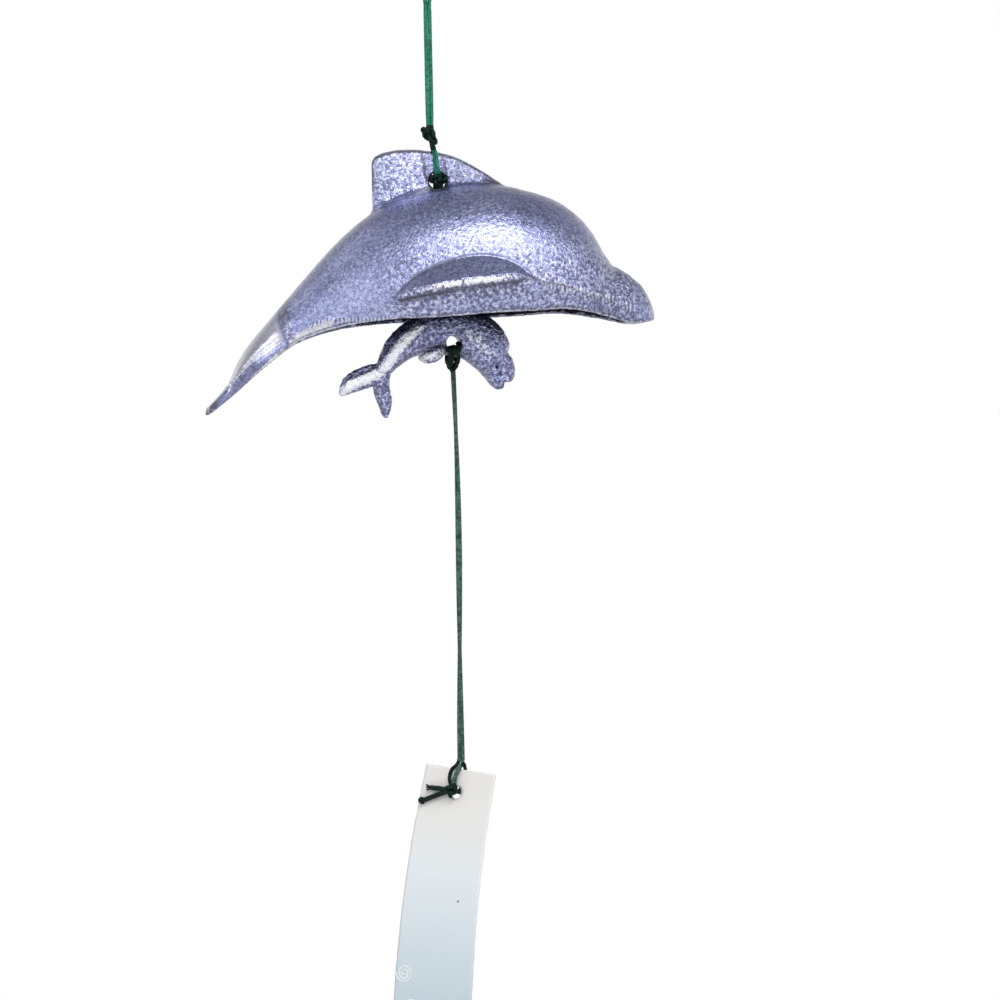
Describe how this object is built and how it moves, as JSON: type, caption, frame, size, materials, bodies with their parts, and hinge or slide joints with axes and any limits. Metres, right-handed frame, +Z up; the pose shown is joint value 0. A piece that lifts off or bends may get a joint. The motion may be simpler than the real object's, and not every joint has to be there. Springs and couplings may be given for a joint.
{
  "type": "wind chime",
  "caption": "Hanging cast iron bell shaped as a dolphin, open below, with a small cast calf inside as its clapper and a paper strip on a cord that catches the wind.",
  "frame": {"origin": "top inside of the cord's hanging loop, where a hook bears", "axes": "+Z up, +X towards the dolphin's snout, Y across its width with the pictured side facing -Y"},
  "size_m": [0.1169, 0.057, 0.3446],
  "materials": {
    "painted_iron": "metallic lavender-blue paint over fine sand-cast grain",
    "cord_green": "thin twisted green cord",
    "cord_dark": "the same green cord, darker where it is knotted tight",
    "paper": "matt paper, warm grey at the top, fading to pale blue"
  },
  "bodies": {
    "hanger": {"hanging_cord": "cord_green"},
    "hanger_loop": {"hanging_knot": "cord_dark", "fin_loop": "cord_green"},
    "bell": {"dolphin_bell": "painted_iron", "crown_knot": "cord_dark"},
    "clapper_link": {"clapper_cord_top": "cord_green"},
    "clapper_line": {"clapper_cord": "cord_green"},
    "calf": {"calf_clapper": "painted_iron", "clapper_hitch": "cord_dark"},
    "strip_link": {"strip_hitch": "cord_dark"},
    "strip_line": {"strip_cord": "cord_green"},
    "strip": {"strip_knot": "cord_dark", "paper_strip": "paper"}
  },
  "joints": [
    {"name": "hanger_turn", "type": "hinge", "parent": "hanger", "child": "hanger_loop", "pos_m": [0, 0, -0.04248], "axis": [0, 0, 1], "continuous": true},
    {"name": "bell_pitch", "type": "hinge", "parent": "hanger_loop", "child": "bell", "pos_m": [0.0016, 0, -0.0557], "axis": [0, 1, 0], "range_deg": [-15, 15]},
    {"name": "clapper_side", "type": "hinge", "parent": "bell", "child": "clapper_link", "pos_m": [0.0026, 0, -0.06156], "axis": [1, 0, 0], "range_deg": [-8, 8]},
    {"name": "clapper_swing", "type": "hinge", "parent": "clapper_link", "child": "clapper_line", "pos_m": [0.0026, 0, -0.06486], "axis": [0, 1, 0], "range_deg": [-10, 10]},
    {"name": "calf_turn", "type": "hinge", "parent": "clapper_line", "child": "calf", "pos_m": [0.0026, 0, -0.08015], "axis": [0, 0, 1], "continuous": true},
    {"name": "strip_swing", "type": "hinge", "parent": "calf", "child": "strip_link", "pos_m": [0.0047, 0, -0.10028], "axis": [0, 1, 0], "range_deg": [-25, 25]},
    {"name": "strip_side", "type": "hinge", "parent": "strip_link", "child": "strip_line", "pos_m": [0.0047, 0, -0.10642], "axis": [1, 0, 0], "range_deg": [-25, 25]},
    {"name": "strip_turn", "type": "hinge", "parent": "strip_line", "child": "strip", "pos_m": [0.0047, 0, -0.20767], "axis": [0, 0, 1], "continuous": true}
  ]
}
